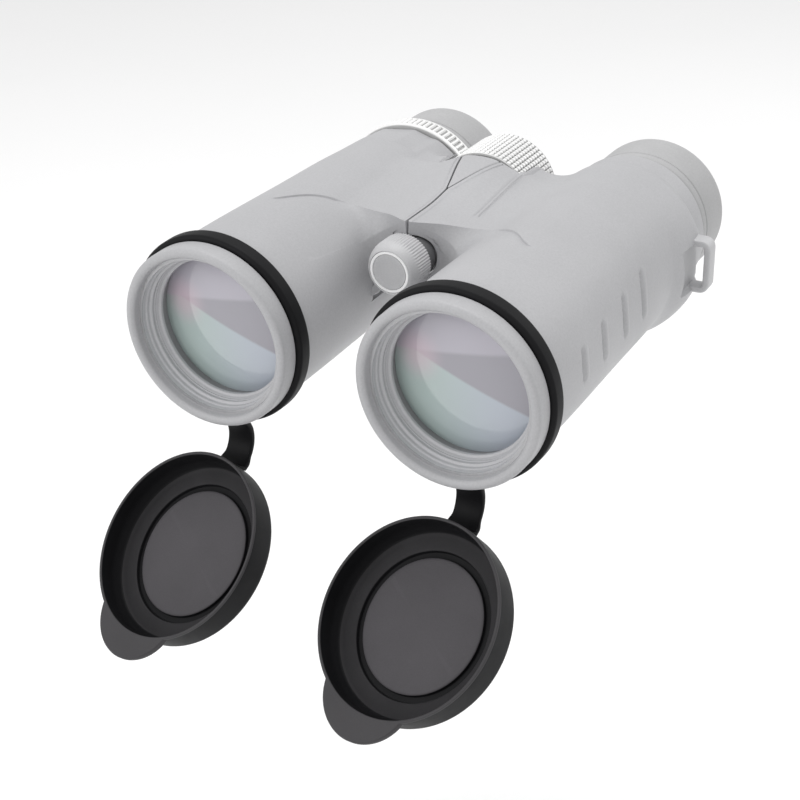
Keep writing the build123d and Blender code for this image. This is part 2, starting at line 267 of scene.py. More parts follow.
def ramp(nodes, links, source, stops):
    """Colour ramp over a 0 to 1 value."""
    made = nodes.new("ShaderNodeValToRGB")
    elements = made.color_ramp.elements
    while len(elements) < len(stops):
        elements.new(0.5)
    for element, (at, colour) in zip(elements, stops):
        element.position = at
        element.color = (*colour, 1)
    links.new(source, made.inputs["Fac"])
    return made.outputs["Color"]


def map_range(nodes, links, value, source, target=(0.0, 1.0), kind="LINEAR"):
    """A value mapped from a source range to a target range."""
    made = nodes.new("ShaderNodeMapRange")
    made.interpolation_type = kind
    for socket, number in zip(("From Min", "From Max", "To Min", "To Max"), (*source, *target)):
        made.inputs[socket].default_value = number
    links.new(value, made.inputs["Value"])
    return made.outputs["Result"]


def vector_math(nodes, links, operation, vector, *fixed):
    """Outputs of an operation on a vector socket and fixed vectors."""
    made = nodes.new("ShaderNodeVectorMath")
    made.operation = operation
    links.new(vector, made.inputs[0])
    for n, value in enumerate(fixed, 1):
        made.inputs[n].default_value = value
    return made.outputs


def tint(colour, factor):
    """Colour made lighter or darker."""
    return tuple(min(1.0, c * factor) for c in colour)


def mixed(nodes, links, factor, low, high):
    """Blend of two colours, each a colour or a socket, by a factor socket or number."""
    made = nodes.new("ShaderNodeMix")
    made.data_type = "RGBA"
    if isinstance(factor, float):
        made.inputs["Factor"].default_value = factor
    else:
        links.new(factor, made.inputs["Factor"])
    for socket, value in ((made.inputs["A"], low), (made.inputs["B"], high)):
        if isinstance(value, tuple):
            socket.default_value = (*value, 1)
        else:
            links.new(value, socket)
    return made


def bumped(nodes, links, surface, height, strength, distance):
    """Give a surface a fine relief, its distance in millimetres."""
    bump = nodes.new("ShaderNodeBump")
    bump.inputs["Strength"].default_value = strength
    bump.inputs["Distance"].default_value = distance * MM
    links.new(height, bump.inputs["Height"])
    links.new(bump.outputs["Normal"], surface.inputs["Normal"])


def height_in_grooves(nodes, links, where, centre, floor_r, top_r):
    """0 on the floor of a knurled ring's grooves and 1 on its teeth, by the radius."""
    away = vector_math(nodes, links, "MULTIPLY_ADD", where, (1, 0, 1),
                       (-centre[0] * MM, 0, -centre[1] * MM))
    length = vector_math(nodes, links, "LENGTH", away["Vector"])
    return map_range(nodes, links, length["Value"], (floor_r * MM, top_r * MM))


def finish_material(name, base, rough, vary=0.06, rough_vary=0.08, grain=6000.0, grain_depth=0.02,
                    patch=45.0, metallic=0.0, sheen=0.0, coat=0.0, wear=0.0, specular=0.5,
                    grooves=None):
    """Moulded or machined surface: patchy colour, uneven gloss, grain bump and paler worn edges.

    grooves is (axis x and z, floor radius, top radius, darkness) of a knurled ring's grooves, whose
    floors are painted darker as shade."""
    made, nodes, links, surface, where = shader(name, base, rough, metallic)
    cloud = noise_texture(nodes, links, where, patch)
    colour = ramp(nodes, links, cloud, [(0.3, tint(base, 1 - vary)), (0.7, tint(base, 1 + vary))])
    speck = noise_texture(nodes, links, where, grain * 0.35, 2.0)
    speckled = mixed(nodes, links, SPECK_SHARE, colour, speck)
    speckled.blend_type = "OVERLAY"
    colour = speckled.outputs["Result"]
    if wear > 0:
        geometry = nodes.new("ShaderNodeNewGeometry")
        edge = ramp(nodes, links, geometry.outputs["Pointiness"],
                    [(0.52, (0, 0, 0)), (0.60, (wear, wear, wear))])
        colour = mixed(nodes, links, edge, colour, tint(base, WORN_TINT)).outputs["Result"]
    # painted shade: a knurled ring's groove floors darker than its teeth
    if grooves:
        centre, floor_r, top_r, groove_shade = grooves
        height = height_in_grooves(nodes, links, where, centre, floor_r, top_r)
        colour = mixed(nodes, links, height, tint(base, groove_shade), colour).outputs["Result"]
    links.new(colour, surface.inputs["Base Color"])
    gloss = map_range(nodes, links, noise_texture(nodes, links, where, patch * 3), (0.0, 1.0),
                      (rough - rough_vary, rough + rough_vary))
    links.new(gloss, surface.inputs["Roughness"])
    relief = noise_texture(nodes, links, where, grain, 3.0)
    bumped(nodes, links, surface, relief, GRAIN_STRENGTH, grain_depth)
    surface.inputs["Sheen Weight"].default_value = sheen
    surface.inputs["Specular IOR Level"].default_value = specular
    surface.inputs["Coat Weight"].default_value = coat
    surface.inputs["Coat Roughness"].default_value = COAT_ROUGHNESS
    return made


def lens_material(name, centre):
    """Lens glass with a multilayer coating, its reflections painted into the colour: painted facets
    of lilac, mauve and green-blue, and a painted pink glint.
    """
    made, nodes, links, surface, where = shader(name, (0.5, 0.5, 0.55), 0.05)
    shift = nodes.new("ShaderNodeMapping")
    shift.inputs["Location"].default_value = [-c for c in centre]
    links.new(where, shift.inputs["Vector"])

    def painted_reflection_edge(direction, start, soft):
        """0 to 1 across a line in the lens plane, the edge of a painted reflection facet."""
        along = vector_math(nodes, links, "DOT_PRODUCT", shift.outputs["Vector"],
                            (direction[0], 0, direction[1]))
        return map_range(nodes, links, along["Value"], ((start - soft) * MM, (start + soft) * MM),
                         kind="SMOOTHSTEP")

    def blend(factor, low, high):
        """Blend of two colours across a facet's edge."""
        return mixed(nodes, links, factor, low, high).outputs["Result"]

    # painted reflections: green-blue turning blue across the lower half, a darker mauve band above a
    # slanting line through the centre, lilac above 7.5 mm
    lower = blend(painted_reflection_edge((1.0, 0.0), 0.0, 14.0), (0.45, 0.54, 0.52), (0.50, 0.54, 0.61))
    middle = blend(painted_reflection_edge((0.355, 0.935), 0.0, 0.5), lower, (0.37, 0.36, 0.40))
    upper = blend(painted_reflection_edge((-0.147, 0.989), 7.5, 0.7), middle, (0.50, 0.48, 0.54))
    # painted glint: a pink spot of painted highlight 13.5 mm to one side of the centre and 4.5 mm
    # above it
    flat = vector_math(nodes, links, "MULTIPLY", shift.outputs["Vector"], (1, 0, 1))
    away = vector_math(nodes, links, "DISTANCE", flat["Vector"], (-0.0135, 0.0, 0.0045))
    painted_glint = map_range(nodes, links, away["Value"], (0.009, 0.001), (0.0, 0.65), "SMOOTHSTEP")
    links.new(blend(painted_glint, upper, (0.66, 0.51, 0.58)), surface.inputs["Base Color"])
    bumped(nodes, links, surface, noise_texture(nodes, links, where, 300.0), 0.04, 0.01)
    surface.inputs["Coat Weight"].default_value = 0.6
    surface.inputs["Coat Roughness"].default_value = 0.03
    surface.inputs["Transmission Weight"].default_value = 0.12
    return made


def glass_material(name, colour):
    """Clear optical glass with a faint tint and slight surface ripple."""
    made, nodes, links, surface, where = shader(name, colour, 0.02)
    surface.inputs["Transmission Weight"].default_value = 1.0
    surface.inputs["IOR"].default_value = 1.52
    tone = ramp(nodes, links, noise_texture(nodes, links, where, 60.0),
                [(0.3, tint(colour, 0.94)), (0.7, colour)])
    links.new(tone, surface.inputs["Base Color"])
    bumped(nodes, links, surface, noise_texture(nodes, links, where, 400.0), 0.05, 0.01)
    return made


ARMOUR = finish_material("armour_rubber", (0.42, 0.42, 0.432), 0.46, vary=0.04, grain=5200.0,
                         grain_depth=0.03, patch=26.0, wear=0.10)
EYECUP = finish_material("eyecup_rubber", (0.40, 0.40, 0.405), 0.62, vary=0.06, grain=4500.0,
                         grain_depth=0.03, patch=40.0, sheen=0.1)
SMOOTH_CAP = dict(rough_vary=0.08, grain=5500.0, grain_depth=0.03, patch=60.0)
MATT_CAP = dict(vary=0.08, rough_vary=0.06, grain=7500.0, grain_depth=0.04, patch=35.0, wear=0.1,
                specular=0.3)
BLACK = finish_material("cap_rubber", (0.009, 0.009, 0.010), 0.50, vary=0.15, wear=0.2,
                        specular=0.12, **SMOOTH_CAP)
LEDGE = finish_material("cap_ledge_rubber", (0.027, 0.026, 0.028), 0.55, vary=0.12,
                        specular=0.14, **SMOOTH_CAP)
CHARCOAL = finish_material("cap_disc_rubber", (0.070, 0.066, 0.072), 0.62, **MATT_CAP)
# paler matt rubber: the thumb tab's own colour, and on the cap's lip a painted highlight along the
# rim
TAB_RUBBER_AND_LIP_HIGHLIGHT = finish_material("cap_tab_rubber_and_painted_lip_highlight", (0.046, 0.044, 0.047), 0.60, **MATT_CAP)
GREY = finish_material("grey_plastic", (0.50, 0.50, 0.51), 0.42, vary=0.05, grain=8000.0,
                       grain_depth=0.012, patch=50.0, wear=0.15)
PALE = finish_material("pale_retainer", (0.50, 0.50, 0.515), 0.40, vary=0.04, grain=9000.0,
                       grain_depth=0.01, patch=50.0, wear=0.15)
INNER = finish_material("inner_wall", (0.30, 0.30, 0.31), 0.55, vary=0.06, grain=7000.0, patch=45.0)
ALLOY = finish_material("housing_alloy", (0.42, 0.42, 0.43), 0.42, vary=0.06, metallic=0.7,
                        grain=7000.0, patch=50.0, wear=0.2)
# painted shade in the knurling's grooves: axis, floor and top radii, and how dark the floors are
# made
WHEEL_GROOVE_SHADE = ((0.0, 0.0), 15.25, 15.45, 0.42)
DIOPTER_GROOVE_SHADE = ((-AXIS_X, AXIS_Z), 23.9, 24.25, 0.5)
SILVER = {name: finish_material(f"satin_metal_{name}", (0.88, 0.88, 0.875), 0.34, vary=0.03,
                                metallic=0.15, grain=9000.0, grain_depth=0.006, patch=70.0,
                                grooves=grooves)
          for name, grooves in (("wheel", WHEEL_GROOVE_SHADE), ("diopter", DIOPTER_GROOVE_SHADE))}
WHITE = finish_material("white_paint", (0.98, 0.98, 0.98), 0.30, vary=0.02, grain=6000.0,
                        grain_depth=0.006, patch=90.0, coat=0.3)
ANODISED = finish_material("black_anodised", (0.03, 0.03, 0.033), 0.45, vary=0.12, metallic=0.8,
                           grain=8000.0, patch=60.0, wear=0.3)
HINGE_METAL = finish_material("hinge_metal", (0.17, 0.17, 0.175), 0.5, vary=0.06, metallic=0.4,
                              grain=8000.0, patch=60.0, wear=0.1)
STEEL = finish_material("steel", (0.56, 0.56, 0.57), 0.30, vary=0.06, metallic=1.0, grain=9000.0,
                        grain_depth=0.008, patch=90.0)
BRASS = finish_material("brass", (0.66, 0.48, 0.20), 0.32, vary=0.08, metallic=1.0, grain=9000.0,
                        grain_depth=0.008, patch=80.0)
GLASS = glass_material("optical_glass", (0.90, 0.95, 0.94))


# ------------------------ barrel body
BARREL_R = spline([(11.2, 25.5), (31, 25.5), (66, 25.0), (83, 24.8), (94, 24.4), (106, 24.0),
                   (111, 23.6)])
BULGE_R = spline([(84, 17.0), (92, 21.2), (99, 23.2), (105, 23.7), (109, 23.5), (113.4, 22.6)])
BULGE_SHIFT = 3.6
BULGE_ANGLE = math.radians(-38)
HINGE = np.array((-AXIS_X, -AXIS_Z))  # the hinge axis, seen from a barrel's own axis
KNUCKLE_ROOM = 7.15  # inner end of each wing, round the hinge knuckles
CARRIAGE_ROOM = 8.9  # and round the focus carriage behind them
SCOOP_R = 16.8  # room for the focus wheel
WING_REAR = 92.3  # the wings' wall in front of the wheel
WING_END = 100.0
SEAM = 0.17
SLOT_X = 24.4  # the slot line, from the barrel's axis towards the hinge
WEDGE = (70.8, 6.3)  # the cover panel's tip, and its half width at the wall
WING_TOP_FRONT = spline([(-36.67, 22.95), (-30.67, 21.75), (-24.67, 20.6), (-16.67, 20.9),
                         (-8.67, 23.1), (0.0, 25.0), (4.0, 24.9)])
WING_TOP_REAR = spline([(-36.67, 26.7), (-31.67, 26.2), (-28.4, 25.0), (-24.67, 23.4),
                        (-21.2, 22.3), (-17.0, 21.8), (-11.8, 22.4), (-7.0, 23.6), (0.0, 25.0),
                        (4.0, 24.9)])
# underside of the bridge, scalloped edge by x, wall's foot by angle, and the wall's own profile
UNDER = [(-31.35, 2.5), (-29.2, 1.9), (-26.17, 1.2), (-24.3, 0.4), (-23.4, -1.2), (-24.6, -3.0)]
SCALLOP = spline([(-36.67, 47.3), (-33.0, 49.8), (-28.5, 53.2), (-22.0, 55.6), (-15.0, 55.2),
                  (-8.0, 52.0), (-3.0, 47.8), (0.5, 44.0), (3.0, 42.0)])
FOOT = spline([(84, 38.0), (91, 40.6), (97, 42.6), (105, 43.4), (113, 44.0), (126, 44.8),
               (138, 45.6), (148, 46.7), (160, 46.8), (186, 46.8)])
WALL = [(0.0, 0.0), (0.14, 0.01), (0.30, 0.035), (0.45, 0.08), (0.58, 0.15), (0.70, 0.26),
        (0.80, 0.40), (0.88, 0.56), (0.94, 0.72), (0.975, 0.86), (0.992, 0.94), (1.0, 0.985)]
TOP_ANGLE = 84.0  # where the bridge's sheet leaves the barrel's circle
UNDER_ANGLE = 186.0
INNER_ANGLE = 177.8  # last of the columns that end round the hinge
TOP_COLUMNS, SEAM_COLUMNS, ARC_COLUMNS, UNDER_COLUMNS = 64, 5, 18, 14
SLOT_COLUMNS, PAST_SLOT_COLUMNS = 9, 17  # of the top columns, those at the slot and beyond it
CIRCLE_STEP = 1.2
CIRCLE_AT = np.arange(UNDER_ANGLE - 360 + CIRCLE_STEP, TOP_ANGLE - CIRCLE_STEP / 2, CIRCLE_STEP)
CIRCLE_COLUMNS = len(CIRCLE_AT)
COLUMNS = CIRCLE_COLUMNS + TOP_COLUMNS + SEAM_COLUMNS + ARC_COLUMNS + UNDER_COLUMNS
COLUMNS_FROM = 60.0  # section whose columns the rows in front follow
WALL_SECTION = 50.0  # section at the head of the bridge's front wall
PLAIN_FOOT, PLAIN_EDGE = 44.0, 46.0  # the wall's foot and edge where it has died out
LIP = [(22.4, 6.0, 0), (22.4, 3.2, 0.3), (22.9, 2.2, 0.4), (23.1, 0.6, 0.5), (24.2, -0.15, 0.9),
       (25.9, 0.35, 1.1), (26.0, 5.85, 0.35), (25.05, 5.95, 0.2), (25.05, 11.15, 0.2),
       (25.5, 11.3, 0.2), (25.5, 12.2, 0)]
TUBE_START = 12.8
TUBE_ROWS = 65
TAIL_START, TAIL_END = 111.0, 113.4  # where the barrel draws in behind the bulge
TAIL = {"left": [(23.3, 112.2, 0), (22.6, 113.4, 0.8), (22.6, 121.2, 0.4), (22.1, 121.55, 0.3),
                 (19.3, 121.6, 0)],
        "right": [(23.6, 112.0, 0), (23.6, 113.2, 0.3), (23.2, 113.45, 0.2), (20.2, 113.5, 0)]}
FINGER_GROOVES = (27.0, 40.0, 54.3, 67.5)
FLATS_START = 99.5  # the two flats in front of the diopter ring
FLAT_NORMALS = (108.0, 84.0)
SKIN = 1.1


def barrel_radius(angle, station):
    """Polar radius of the barrel with its prism bulge."""
    plain = BARREL_R(station)
    turn = angle - BULGE_ANGLE
    beside = BULGE_SHIFT * np.sin(turn)
    ball = BULGE_SHIFT * np.cos(turn) + np.sqrt(BULGE_R(station) ** 2 - beside ** 2)
    return smooth_max(ball, plain, 1.6) + 0 * angle


def wing_top(x, station):
    """Height of the bridge's top, which rises to the focus wheel near the hinge."""
    rise = smooth_step(station, 58.0, WING_REAR)
    sink = (BARREL_R(50.0) - BARREL_R(station)) * smooth_step(x, -16, -3)
    return WING_TOP_FRONT(x) + (WING_TOP_REAR(x) - WING_TOP_FRONT(x)) * rise - sink


def around(radius, angles):
    """Points at radii and at angles in degrees."""
    turn = np.radians(angles)
    return np.stack((radius * np.cos(turn), radius * np.sin(turn)), axis=-1)


def polar(points):
    """(x, z) points as angles in degrees and radii."""
    points = np.asarray(points)
    return np.degrees(np.arctan2(points[:, 1], points[:, 0])) % 360, np.hypot(*points.T)


def spread(points, count):
    """Points evenly spaced along a polyline."""
    points = np.asarray(points, float)
    run = np.concatenate(([0], np.cumsum(np.hypot(*np.diff(points, axis=0).T))))
    at = np.linspace(0, run[-1], count)
    return np.stack([np.interp(at, run, points[:, i]) for i in (0, 1)], axis=1)


def seam_x(station):
    """Where a wing ends towards the hinge: at the seam, or at the cover panel behind it."""
    tip, half = WEDGE
    opening = max(0.0, station - tip) * half / (WING_REAR - tip)
    return HINGE[0] + SEAM + opening


def wing_outline(station):
    """The bridge's cross-section, from the barrel's top over the seam to its underside."""
    end_x = seam_x(station)
    x = np.linspace(math.cos(math.radians(TOP_ANGLE)) * 25.2, end_x, 400)
    angle, radius = polar(np.stack((x, wing_top(x, station)), axis=1))
    slot = np.interp([-SLOT_X + 0.7, -SLOT_X - 0.7], x[::-1], angle[::-1])
    before_slot = TOP_COLUMNS - SLOT_COLUMNS - PAST_SLOT_COLUMNS
    at = np.concatenate((np.linspace(TOP_ANGLE, slot[0], before_slot),
                         np.linspace(slot[0], slot[1], SLOT_COLUMNS + 1)[1:],
                         np.linspace(slot[1], angle[-1], PAST_SLOT_COLUMNS + 1)[1:]))
    r = np.interp(at, angle, radius)
    r = smooth_max(r, barrel_radius(np.radians(at), station), 0.5)
    top = around(r, at)
    room = KNUCKLE_ROOM + (CARRIAGE_ROOM - KNUCKLE_ROOM) * smooth_step(station, 72.2, 72.9)
    across = min(end_x - HINGE[0], room - 0.05)
    first = math.degrees(math.acos(across / room))
    arc = HINGE + around(room, np.linspace(first, -60, ARC_COLUMNS))
    corner = top[-1]
    top[-1] += (0.16, 0.02)
    seam = spread([corner + (0.0, -0.14), corner + (0.0, -0.4), arc[0] + (0.0, 0.3)], SEAM_COLUMNS)
    under = spread([arc[-1]] + UNDER, UNDER_COLUMNS + 1)[1:]
    return np.concatenate((top, seam, arc, under))


def circle_outline(station, at):
    """The barrel's own cross-section at angles in degrees."""
    return around(barrel_radius(np.radians(at), station), at)


def scoop(points):
    """Press points back out of the focus wheel's room, along rays from the barrel."""
    angle = np.arctan2(points[:, 1], points[:, 0])
    radius = np.hypot(*points.T)
    along = np.cos(angle) * HINGE[0] + np.sin(angle) * HINGE[1]
    side = np.sin(angle) * HINGE[0] - np.cos(angle) * HINGE[1]
    hits = (np.abs(side) < SCOOP_R) & (along > 0)
    near = along - np.sqrt(np.maximum(SCOOP_R ** 2 - side ** 2, 0))
    limit = np.where(hits, near, 1e3)
    radius = np.minimum(radius, limit)
    return radius[:, None] * np.stack((np.cos(angle), np.sin(angle)), axis=1)


def clear_of_hinge(points, room):
    """Push points out of the round room for the hinge."""
    off = points - HINGE
    distance = np.hypot(*off.T)
    return HINGE + off * (np.maximum(distance, room) / distance)[:, None]


def groove(value, half_width):
    """1 in the middle of a groove, falling smoothly to 0 at its edges."""
    return np.clip(1 - (value / half_width) ** 2, 0, 1) ** 2


def surface_detail(points, stations, side):
    """Finger grooves, slot line, flats and strap recess, as moves of the surface points."""
    angle = np.degrees(np.arctan2(points[:, 1], points[:, 0]))
    radius = np.hypot(*points.T)
    cut = np.zeros(len(points))
    for n, at in enumerate(FINGER_GROOVES):
        upper = 15.0 + 3.0 * n
        bow = at + 1.6 * ((angle - 5) / 15) ** 2
        fade = smooth_step(angle, -8, -3) * (1 - smooth_step(angle, upper - 2, upper + 2))
        cut += 0.85 * groove(stations - bow, 1.15) * fade
        cut -= 0.30 * groove(stations - bow - 1.9, 1.3) * fade
    if side == "left":
        near = smooth_step(stations, 62.0, 64.5) * (1 - smooth_step(stations, 90.5, 91.5))
        top = (points[:, 1] > 15) & (points[:, 0] < 0)
        cut += 0.9 * groove(points[:, 0] + SLOT_X, 0.38) * near * top
    else:
        for normal in FLAT_NORMALS:
            turn = np.radians(np.clip((angle - normal + 180) % 360 - 180, -60, 60))
            past = stations - FLATS_START
            level = 23.2 - 0.03 * np.maximum(past, 0) + 0.9 * np.maximum(-past, 0)
            flat = (radius - level / np.cos(turn)) * (1 - smooth_step(angle, 110, 118))
            cut = np.where((past > -10) & (angle > 40), np.maximum(cut, flat), cut)
    out = points * ((radius - cut) / radius)[:, None]
    recess = (smooth_step(stations, 97.2, 98.6) * (1 - smooth_step(stations, 113.0, 114.2))
              * smooth_step(out[:, 1], -9.3, -8.1) * (1 - smooth_step(out[:, 1], 4.1, 5.3)))
    pressed = np.minimum(out[:, 0], 23.8)
    out[:, 0] = out[:, 0] + (pressed - out[:, 0]) * recess * (out[:, 0] > 0)
    return out


def column_angles(station):
    """Angles of all columns on the barrel's circle, for the bridge's section at a station."""
    angle, _ = polar(wing_outline(station))
    first, last = TOP_COLUMNS, TOP_COLUMNS + SEAM_COLUMNS + ARC_COLUMNS
    angle[first - 1:last + 1] = np.linspace(angle[first - 1], INNER_ANGLE, last - first + 2)
    angle[last:] = np.linspace(angle[last], UNDER_ANGLE, UNDER_COLUMNS)
    return np.concatenate((CIRCLE_AT, angle))


def lip_rows(angles):
    """Rolled lip, the cap ring's seat and the step behind it."""
    return [(around(r, angles), np.full(COLUMNS, s)) for r, s in rounded(LIP, closed=False)]


def wall_rows(angles):
    """Tube up to the bridge's front wall, then the wall from its foot to its scalloped edge."""
    pull = smooth_step(angles, 30, TOP_ANGLE)

    def edge_at(x):
        """Station of the scalloped edge."""
        scallop = np.where(angles < TOP_ANGLE, SCALLOP(3.0), SCALLOP(x))
        return PLAIN_EDGE + (scallop - PLAIN_EDGE) * pull

    def foot_at(x, on_wall):
        """Station of the wall's foot on the barrel."""
        foot = np.where(on_wall < TOP_ANGLE, FOOT(TOP_ANGLE), FOOT(on_wall))
        return np.minimum(PLAIN_FOOT + (foot - PLAIN_FOOT) * pull, edge_at(x) - 0.6)

    outline = wing_outline(WALL_SECTION)
    low = circle_outline(np.full(COLUMNS, PLAIN_EDGE), angles)
    high = np.concatenate((low[:CIRCLE_COLUMNS], outline))
    corner = CIRCLE_COLUMNS + TOP_COLUMNS - 1
    height = np.maximum(np.hypot(*high.T) - np.hypot(*low.T), 0.05)
    height[corner:] = height[corner]
    undercut = smooth_step(angles, 79, 87) * (1 - smooth_step(angles, 112, 128))
    foot = foot_at(low[:, 0], angles)
    rows = []
    for t in np.linspace(0, 1, TUBE_ROWS, endpoint=False):
        stations = TUBE_START + (foot - TUBE_START) * t
        rows.append((circle_outline(stations, angles), stations))
    alongs, rises = np.array(WALL).T
    for rise in rises:
        points = clear_of_hinge(low + (high - low) * rise, KNUCKLE_ROOM)
        on_wall = np.where(angles < TOP_ANGLE, angles, polar(points)[0])
        share = np.clip((np.hypot(*points.T) - np.hypot(*low.T)) / height, 0, rises[-1])
        share[:corner] = rise
        along = np.interp(share, rises, alongs)
        near = foot_at(points[:, 0], on_wall)
        stations = near + (edge_at(points[:, 0]) - near) * along
        base = circle_outline(stations, angles)
        top = np.concatenate((base[:CIRCLE_COLUMNS], outline))
        room = KNUCKLE_ROOM + 0.6 * (1 - rise / rises[-1])
        points = clear_of_hinge(base + (top - base) * rise, room)
        dip = 0.55 * along * (1 - smooth_step(along, 0.93, 1.0)) * undercut
        rows.append((points * (1 - dip / np.hypot(*points.T))[:, None], stations))
    return rows


def wing_rows(angles, edge):
    """Bridge from its scalloped edge to the wall in front of the focus wheel."""
    end = WING_REAR - 0.15
    rows = []
    for t in np.concatenate(([0.004, 0.010], np.linspace(0.022, 1, 84))):
        stations = edge + (end - edge) * t
        levels = np.unique(np.round(np.linspace(stations.min(), stations.max(), 9), 3))
        shapes = np.stack([wing_outline(s) for s in levels])
        low = circle_outline(stations, angles)
        ring = low.copy()
        for j, k in enumerate(range(CIRCLE_COLUMNS, COLUMNS)):
            ring[k] = [np.interp(stations[k], levels, shapes[:, j, i]) for i in (0, 1)]
        settle = 1 - 0.015 * (1 - smooth_step(t, 0.0, 0.008))
        rows.append((low + (ring - low) * settle, stations))
    return rows


def rear_rows(side):
    """Barrel behind the bridge's wall, with the focus wheel's room cut out, to its rear edge."""
    angles = column_angles(WING_REAR)
    wing = slice(CIRCLE_COLUMNS, CIRCLE_COLUMNS + TOP_COLUMNS)
    rear_wing = wing_outline(WING_REAR)[:TOP_COLUMNS]
    rear_circle = circle_outline(WING_REAR, angles)[wing]
    stand_off = np.maximum(np.hypot(*rear_wing.T) - np.hypot(*rear_circle.T), 0)
    rows = []
    for s in np.concatenate(([WING_REAR + 0.05], np.linspace(92.8, TAIL_START, 37))):
        ring = circle_outline(s, angles)
        drop = 1.1 * smooth_step(s, WING_REAR, 97.0)
        lift = 1 - smooth_step(s, WING_END + 0.3, WING_END + 8.0)
        base_r = np.hypot(*ring[wing].T)
        ring[wing] *= (1 + np.maximum(stand_off - drop, 0) * lift / base_r)[:, None]
        rows.append((scoop(ring), np.full(COLUMNS, s)))
    last_r = np.hypot(*circle_outline(TAIL_START, angles).T)
    for r, s in rounded(TAIL[side], closed=False):
        radius = np.full(COLUMNS, r)
        if s < TAIL_END:
            radius = last_r + (r - last_r) * smooth_step(s, TAIL_START, TAIL_END)
        ring = around(np.minimum(radius, last_r), angles)
        rows.append((scoop(ring) if s < TAIL_END else ring, np.full(COLUMNS, s)))
    return rows


def armour(side):
    """Rubber skin of a barrel and its half of the bridge, as one grid of rows round the barrel."""
    angles = column_angles(COLUMNS_FROM)
    rows = lip_rows(angles) + wall_rows(angles)
    edge = rows[-1][1]
    rows += wing_rows(angles, edge) + rear_rows(side)
    stations = np.stack([at for _, at in rows])
    spots = np.stack([surface_detail(points, at, side) for points, at in rows])
    sign = SIDES[side]
    points = np.stack((sign * (AXIS_X + spots[..., 0]), FRONT + stations, AXIS_Z + spots[..., 1]),
                      axis=-1)
    faces = grid_faces(len(rows), COLUMNS, False, True, sign > 0)
    piece = mesh_piece(f"{side}_armour", points.reshape(-1, 3), faces, 40.0)
    skin = piece.modifiers.new("skin", "SOLIDIFY")
    skin.thickness = SKIN * MM
    skin.offset = -1.0
    skin.use_rim = True
    return place(piece, f"{side}_barrel", ARMOUR, [f"{side}_rubber_armour"])


# ------------------------ objective end
LENS_SAG = 1.9


def objective_end(side):
    """Stepped retainer behind the hood, and the cap's elastic ring."""
    x, z = axis_of(side)
    steps = rounded([(21.95, 2.7, 0.1), (22.3, 2.7, 0.1), (22.3, 9.3, 0.1), (19.9, 9.3, 0.15),
                     (19.9, 8.3, 0.15), (20.5, 8.0, 0.15), (20.9, 7.2, 0.2), (20.9, 6.9, 0.1),
                     (21.1, 6.75, 0.1), (21.1, 6.2, 0.1), (20.95, 6.05, 0.1), (20.95, 5.6, 0.15),
                     (21.6, 5.2, 0.15), (21.6, 4.3, 0.15), (21.95, 3.9, 0.15)])
    retainer = lathe(f"{side}_retainer", steps, (x, z))
    place(retainer, f"{side}_barrel", PALE, [f"{side}_objective_retainer"])
    band = rounded([(25.25, 6.15, 0.3), (26.5, 6.1, 0.5), (27.4, 6.7, 0.5), (27.46, 10.4, 0.5),
                    (26.9, 11.0, 0.5), (25.25, 10.95, 0.3)])
    ring = lathe(f"{side}_elastic_ring", band, (x, z), 256)
    place(ring, f"{side}_cap_ring", BLACK, [f"{side}_cap_ring"])
    front, _, rim = round_extent(f"{side}_crown_lens")
    radii = rim * np.sin(np.linspace(0, math.pi / 2, 25))
    curve = [(r, front + LENS_SAG * (r / rim) ** 2) for r in radii]
    outline = curve + [(rim, front + 5.6), (rim * 0.5, front + 6.0), (0.0, front + 6.2)]
    lens = lathe(f"{side}_objective_lens", outline, (x, z), 192, 50.0)
    # lens glass with painted reflections and a painted glint
    painted_reflection_lens = lens_material(f"{side}_painted_reflection_glass", (x * MM, 0.0, z * MM))
    place(lens, f"{side}_barrel", painted_reflection_lens, [f"{side}_crown_lens", f"{side}_flint_lens"])


# ------------------------ caps
def joint(name):
    """A joint of the record by its name."""
    return next(j for j in frame["joints"] if j["name"] == name)


def hang(piece, side):
    """Swing a piece from its closed place on the rim to where the cap hangs."""
    hinge = joint(f"{side}_cap_flip")
    pivot = Matrix.Translation(Vector(hinge["pos_m"]))
    swing = Matrix.Rotation(-math.radians(hinge["range_deg"][1]), 4, Vector(hinge["axis"]))
    piece.data.transform(pivot @ swing @ pivot.inverted())


def tab_outline(reach, radius, wall):
    """Round thumb tab that grows out of the cap's wall, as (x, z)."""
    middle = reach - radius
    low = (wall ** 2 - radius ** 2 + middle ** 2) / (2 * middle)
    meet = math.asin((low - middle) / radius)
    inner = math.asin(low / wall)
    outside = [(radius * math.cos(t), middle + radius * math.sin(t))
               for t in np.linspace(meet, math.pi - meet, 48)]
    inside = [(wall * math.cos(t), wall * math.sin(t))
              for t in np.linspace(math.pi - inner, inner, 26)[1:-1]]
    return outside + inside


def slab(name, outline, centre, low, high, edge):
    """Flat plate of an (x, z) outline between two stations, its edges rounded over."""
    outline = np.asarray(outline)
    middle = outline.mean(axis=0)
    levels = [(low, edge), (low + 0.3 * edge, 0.3 * edge), (low + edge, 0.0),
              (high - edge, 0.0), (high - 0.3 * edge, 0.3 * edge), (high, edge)]
    loops = []
    for station, inset in levels:
        inward = middle - outline
        inward /= np.linalg.norm(inward, axis=1)[:, None]
        loop = outline + inward * inset
        loops.append(np.stack((centre[0] + loop[:, 0], np.full(len(loop), FRONT + station),
                               centre[1] + loop[:, 1]), axis=1))
    return closed_tube(name, loops)


TAB_LEAN = math.radians(-5.0)  # the tab sits a little off the strap's line


